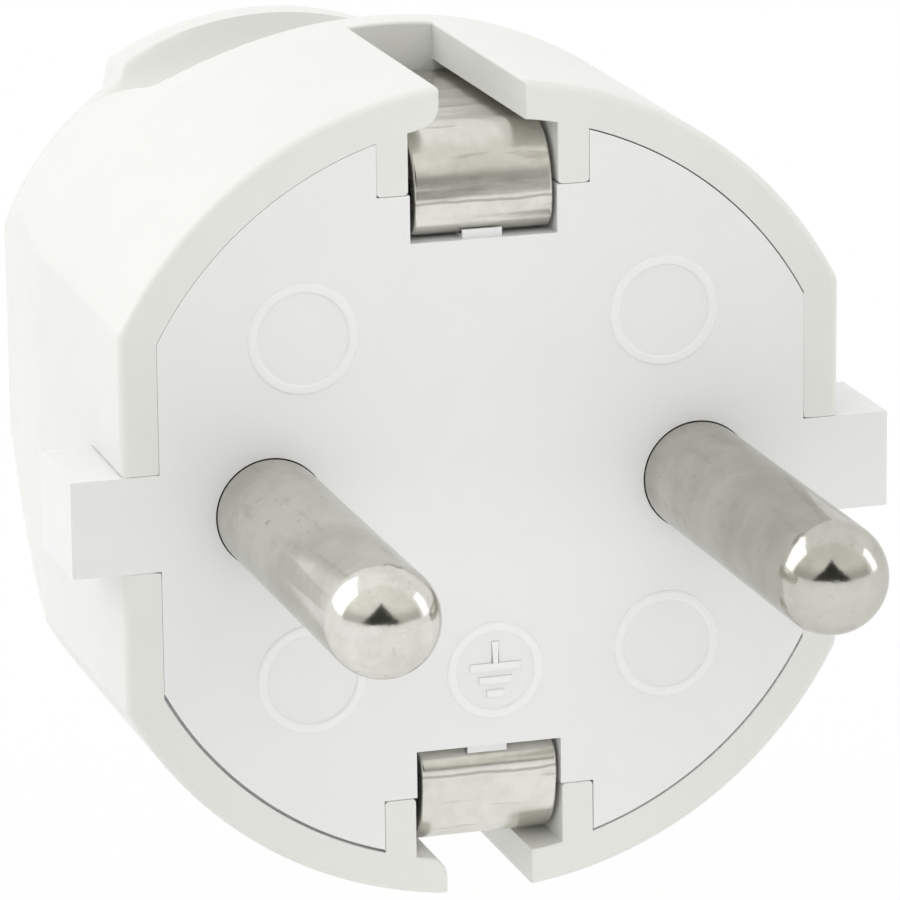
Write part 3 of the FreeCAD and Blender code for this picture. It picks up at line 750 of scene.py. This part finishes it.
def carrierRound(a, b):
    c = carrier
    nearest = min(abs(a.x), abs(b.x))
    front = isNear(a.y, 0) and isNear(b.y, 0)
    marks = any(math.hypot(a.x - x, a.z - z) < radius + 0.3 for x, z, radius in faceMarks["rings"])
    pins = any(math.hypot(a.x - x, a.z) < c["pinHole"] + 0.16 for x in (-c["pinX"], c["pinX"]))
    if front and not marks and not pins:
        if max(abs(a.x), abs(b.x)) > c["earEnd"] - 0.01:
            return c["earRound"]
        return c["flatRound"] if nearest > c["side"] - 0.01 else c["edgeRound"]
    return c["earRound"] if nearest > c["earEnd"] - 0.01 else 0


def makeCarrier():
    m = faceMarks
    plate = drawPlate()
    addBack(plate)
    drillBack(plate)
    for x, z, radius in m["rings"]:
        joinOn(plate, lowRing(x, z, radius, m["ringHalf"], m["height"]))
    for x, z, width in m["bars"]:
        joinOn(plate, lowBar(x, z, width, m["barHeight"], m["height"]))
    joinOn(plate, lowBar(*m["stem"], m["height"] * m["stemRise"]))
    print("carrier marks joined")
    softenEdges(plate, carrierRound)
    finishPiece(plate, "pin_carrier_face", carrierFinish, "carrier_plastic", "pin_carrier")


makeCarrier()


# pins: turned, round-ended, with a cross-drilled head behind the plate

pin = {
    "radius": 2.4, "dome": -16.6, "domeRings": 20, "middle": -8.0,
    "root": 2.8, "plate": 4.0, "head": 3.3, "headBevel": 0.15, "end": 12.6, "endBevel": 0.2,
    "wireHole": 1.4, "wireY": 7.6, "tapped": 1.55, "pinX": 9.5,
}


def makePin():
    p = pin
    x = -p["pinX"]
    profile = []
    for i in range(p["domeRings"] + 1):
        a = math.radians(1 + 89 * i / p["domeRings"])
        profile.append((p["dome"] - p["radius"] * math.cos(a), p["radius"] * math.sin(a)))
    profile += [(p["middle"], p["radius"]), (0, p["radius"]), (p["plate"], p["root"])]
    profile += [(p["plate"], p["head"] - p["headBevel"]), (p["plate"] + p["headBevel"], p["head"])]
    profile += [(p["end"] - p["endBevel"], p["head"]), (p["end"], p["head"] - p["endBevel"])]
    profile += [(p["end"], p["tapped"]), (p["wireY"], p["tapped"])]
    turned = turnProfile(profile, x, 0, 96)
    ring = circlePoints(x, p["wireY"], p["wireHole"], 0, 360, 48)[:-1]
    cutAway(turned, drawOutline([Vector((px, py, -4)) for px, py in ring], (0, 0, 8)))
    return turned


leftPin = makePin()
take(leftPin)
bpy.ops.object.duplicate(linked=False)
rightPin = bpy.context.object
bpy.ops.transform.translate(value=(2 * pin["pinX"], 0, 0))
bpy.ops.object.transform_apply(location=True, rotation=True, scale=True)
finishPiece(leftPin, "left_pin_turned", pinFinish, "plated_pin", "left_pin")
finishPiece(rightPin, "right_pin_turned", pinFinish, "plated_pin", "right_pin")


# earth bracket: one folded strip with a hairpin contact at each end

bracket = {
    "left": -3.0, "right": 3.1, "thick": 0.7, "top": 15.85, "bottom": 11.33, "front": 0.05,
    "nose": 2.5, "noseBack": 0.113, "lean": 12.5, "bow": 11.0, "leanEnd": 7.5,
    "crease": 12.85, "creaseHalf": 0.08, "creaseAbove": 0.006, "creaseBelow": 0.008,
    "chin": 1.05, "chinBack": 0.05, "chinStart": -94, "legEnd": 13.3,
    "bridge": 9.0, "bend": 0.59, "screwHole": 1.75, "screwZ": 8.24, "bushHole": 2.05, "edgeRound": 0.13,
    "touch": 0.001,
}


def contactOutline():
    # in Y and Z, from the leg's end round the nose to the bridge and back along the inside
    b = bracket
    noseY, noseZ = b["front"] + b["noseBack"] + b["nose"], b["top"] - b["nose"]
    chinY, chinZ = b["front"] + b["chinBack"] + b["chin"], b["bottom"] + b["chin"]
    bendY, bendZ = b["bridge"] - b["bend"], b["bottom"] - b["bend"]
    outline = [(b["legEnd"], b["top"])]
    outline += circlePoints(noseY, noseZ, b["nose"], 0, b["lean"] - 90, 28)
    # below the nose the front is only slightly bowed
    lean, more = math.radians(b["lean"]), b["bow"] - b["nose"]
    outline += circlePoints(noseY + more * math.cos(lean), noseZ - more * math.sin(lean), b["bow"],
                            b["lean"] - 90, b["leanEnd"] - 90, 8)[1:]
    outline += [(b["front"] + b["creaseAbove"], b["crease"] + b["creaseHalf"]), (b["front"], b["crease"]),
                (b["front"] + b["creaseBelow"], b["crease"] - b["creaseHalf"])]
    outline += circlePoints(chinY, chinZ, b["chin"], b["chinStart"], -180, 14)
    outline += circlePoints(bendY, bendZ, b["bend"], 0, 90, 10)
    outline += [(b["bridge"], 0), (b["bridge"] + b["thick"], 0)]
    outline += circlePoints(bendY, bendZ, b["bend"] + b["thick"], 90, 0, 12)
    outline += circlePoints(chinY, chinZ, b["chin"] - b["thick"], -180, -90, 5)
    outline += circlePoints(noseY, noseZ, b["nose"] - b["thick"], -90, 0, 24)
    return outline + [(b["legEnd"], b["top"] - b["thick"])]


def stripRound(p, q):
    b = bracket
    side = isNear(p.x, b["left"], b["touch"]) or isNear(p.x, b["right"], b["touch"])
    end = isNear(p.y, b["legEnd"], b["touch"]) and isNear(q.y, b["legEnd"], b["touch"])
    return b["edgeRound"] if side and isNear(p.x, q.x, b["touch"]) or end else 0


def makeBracket():
    b = bracket
    strip = drawOutline([Vector((b["left"], y, z)) for y, z in contactOutline()], (b["right"] - b["left"], 0, 0))
    # the cut face in the middle goes, and the other half is mirrored
    take(strip)
    bpy.ops.object.mode_set(mode="EDIT")
    bpy.ops.mesh.select_mode(type="FACE")
    bpy.ops.mesh.select_all(action="DESELECT")
    bpy.ops.object.mode_set(mode="OBJECT")
    for polygon in strip.data.polygons:
        polygon.select = isNear(polygon.center.z, 0, b["touch"])
    bpy.ops.object.mode_set(mode="EDIT")
    bpy.ops.mesh.delete(type="FACE")
    bpy.ops.object.mode_set(mode="OBJECT")
    applyModifier(strip, "MIRROR", use_axis=(False, False, True), use_clip=True, merge_threshold=b["touch"])
    faceOutward(strip)
    softenEdges(strip, stripRound)
    start, end = b["bridge"] - overshoot, b["bridge"] + b["thick"] + overshoot
    for z, hole in ((-b["screwZ"], b["screwHole"]), (b["screwZ"], b["screwHole"]), (0, b["bushHole"])):
        cutAway(strip, turnProfile([(start, hole), (end, hole)], 0, z))
    finishPiece(strip, "earth_strip", stripFinish, "plated_strip", "earth_bracket")


makeBracket()


# small fasteners keep their solids and take a finish

fastenerFinish = {
    "pin_terminal_screws": zincFinish, "casing_screws": zincFinish, "cord_clamp_screws": zincFinish,
    "earth_terminal_screw": zincFinish, "earth_clamp_washer": zincFinish, "earth_terminal_bush": brassFinish,
    "threaded_inserts": brassFinish, "cord_clamp_bar": carrierFinish,
}
for name, finish in fastenerFinish.items():
    nodes[name].data.materials.clear()
    nodes[name].data.materials.append(finish)
print("fasteners finished")


# stage, light and camera, in metres

stage = {
    "floorPlace": (0, 0.015, -0.07), "floorRadius": 1.2, "floorColour": (0.86, 0.86, 0.85, 1), "floorRough": 0.9,
    "floorFade": (0.04, 0.2, 0.55, 1.0),
    "white": (0.97, 0.97, 0.96, 1), "roomLow": (0.54, 0.53, 0.49, 1), "roomHigh": (0.87, 0.86, 0.81, 1),
    "roomFront": (0.02, 0.2), "roomFoot": (0.06, 0.12), "roomRise": (0.2, 0.52),
    "wedgeColour": (0.04, 0.04, 0.035, 1), "wedgeHalf": 0.66, "wedgeLow": 0.1, "wedgeSlope": 0.98,
    "wedgeSoft": (-0.03, 0.08), "wedgeFront": (0.3, 0.4), "wedgeFoot": (0.06, 0.11),
    "camera": (-0.0764, -0.2497, 0.0718), "lens": 253.84, "sensor": 36.0, "clip": (0.01, 10.0),
    "right": (0.9571, -0.2897, -0.0109), "up": (0.0849, 0.2442, 0.966), "forward": (0.2772, 0.9254, -0.2583),
}

# each lamp has its place, its width and height, and its power
lighting = {
    "target": (0, 0.01, 0),
    "softboxes": {"leftSoftbox": ((-0.43, 0.27, 0.30), (0.5, 0.45), 0.85),
                  "rightSoftbox": ((0.56, -0.09, 0.20), (0.16, 0.32), 0.22)},
    "fills": {"frontFill": ((-0.1, -0.6, 0.3), (0.6, 0.4), 0.6),
              "topFill": ((-0.25, -0.08, 0.62), (0.5, 0.5), 0.62),
              "faceFill": ((0, -0.022, 0), (0.006, 0.05), 0.0009)},
}


def makeFloor():
    clearSelection()
    bpy.ops.mesh.primitive_circle_add(vertices=96, radius=stage["floorRadius"], fill_type="NGON",
                                      location=stage["floorPlace"])
    floor = bpy.context.object
    floor.name = "floor"
    material, shader, wire, place = newFinish("floorPaper")
    shader.inputs["Base Color"].default_value = stage["floorColour"]
    shader.inputs["Roughness"].default_value = stage["floorRough"]
    seen = wire.add("ShaderNodeLightPath", out="Is Camera Ray")
    glossy = wire.add("ShaderNodeLightPath", out="Is Glossy Ray")
    through = wire.add("ShaderNodeLightPath", out="Is Transmission Ray")
    # white to the eye and in reflections, with the shadow kept near the object
    away = wire.add("ShaderNodeVectorMath", {"operation": "LENGTH"}, {0: place}, out=1)
    amount = wire.math("MINIMUM", seen + glossy + through, 1.0) * away.spread(*stage["floorFade"])
    white = wire.add("ShaderNodeEmission", {}, {"Color": (1, 1, 1, 1), "Strength": 1.0})
    paper = Wire(wire.tree, shader.outputs[0])
    mixed = wire.add("ShaderNodeMixShader", {}, {0: amount, 1: paper, 2: white})
    wire.tree.links.new(mixed.socket, wire.tree.nodes["Material Output"].inputs["Surface"])
    floor.data.materials.append(material)


def makeWorld():
    world = bpy.data.worlds.new("studio")
    bpy.context.scene.world = world
    world.use_nodes = True
    wire = Wire(world.node_tree)
    direction = wire.add("ShaderNodeTexCoord", out=0)
    height = direction.axis(2)
    # the room behind the camera is dim, the paper sweep behind the object and the table are white
    towards = Vector((stage["camera"][0], stage["camera"][1], 0)).normalized()
    facing = direction.along(towards)
    aside = wire.math("ABSOLUTE", direction.along(Vector((-towards.y, towards.x, 0))))
    room = facing.spread(*stage["roomFront"]) * height.spread(*stage["roomFoot"])
    ceiling = height.spread(*stage["roomRise"]).tint(stage["roomLow"], stage["roomHigh"])
    sweep = room.tint(stage["white"], ceiling)
    # a dark wedge low in front, which the pins' round ends reflect
    wedge = stage["wedgeHalf"] - (height - stage["wedgeLow"]) * stage["wedgeSlope"] - aside
    dark = wedge.spread(*stage["wedgeSoft"]) * facing.spread(*stage["wedgeFront"])
    dark = dark * height.spread(*stage["wedgeFoot"])
    studio = dark.tint(sweep, stage["wedgeColour"])
    colour = wire.add("ShaderNodeLightPath", out="Is Camera Ray").tint(studio, (1, 1, 1, 1))
    background = world.node_tree.nodes["Background"]
    wire.tree.links.new(colour.socket, background.inputs["Color"])
    background.inputs["Strength"].default_value = 1.0


def addLamp(name, place, size, power):
    clearSelection()
    bpy.ops.object.light_add(type="AREA", location=place)
    lamp = bpy.context.object
    lamp.name = name
    lamp.data.shape = "RECTANGLE"
    lamp.data.size, lamp.data.size_y = size
    lamp.data.energy = power
    aim = Vector(lighting["target"]) - Vector(place)
    lamp.rotation_euler = aim.to_track_quat("-Z", "Y").to_euler()
    return lamp


def addCamera():
    clearSelection()
    bpy.ops.object.camera_add()
    camera = bpy.context.object
    camera.name = "photoCamera"
    camera.data.sensor_width = stage["sensor"]
    camera.data.lens = stage["lens"]
    camera.data.clip_start, camera.data.clip_end = stage["clip"]
    turn = Matrix((Vector(stage["right"]), Vector(stage["up"]), -Vector(stage["forward"]))).transposed()
    camera.matrix_world = Matrix.Translation(Vector(stage["camera"])) @ turn.to_4x4()
    bpy.context.scene.camera = camera


makeFloor()
makeWorld()
for name, lamp in lighting["softboxes"].items():
    addLamp(name, *lamp)
for name, lamp in lighting["fills"].items():
    # fills show in no reflection
    fill = addLamp(name, *lamp)
    fill.visible_glossy = False
    fill.visible_camera = False
addCamera()
bpy.context.scene.view_settings.view_transform = "Standard"
print("stage set")
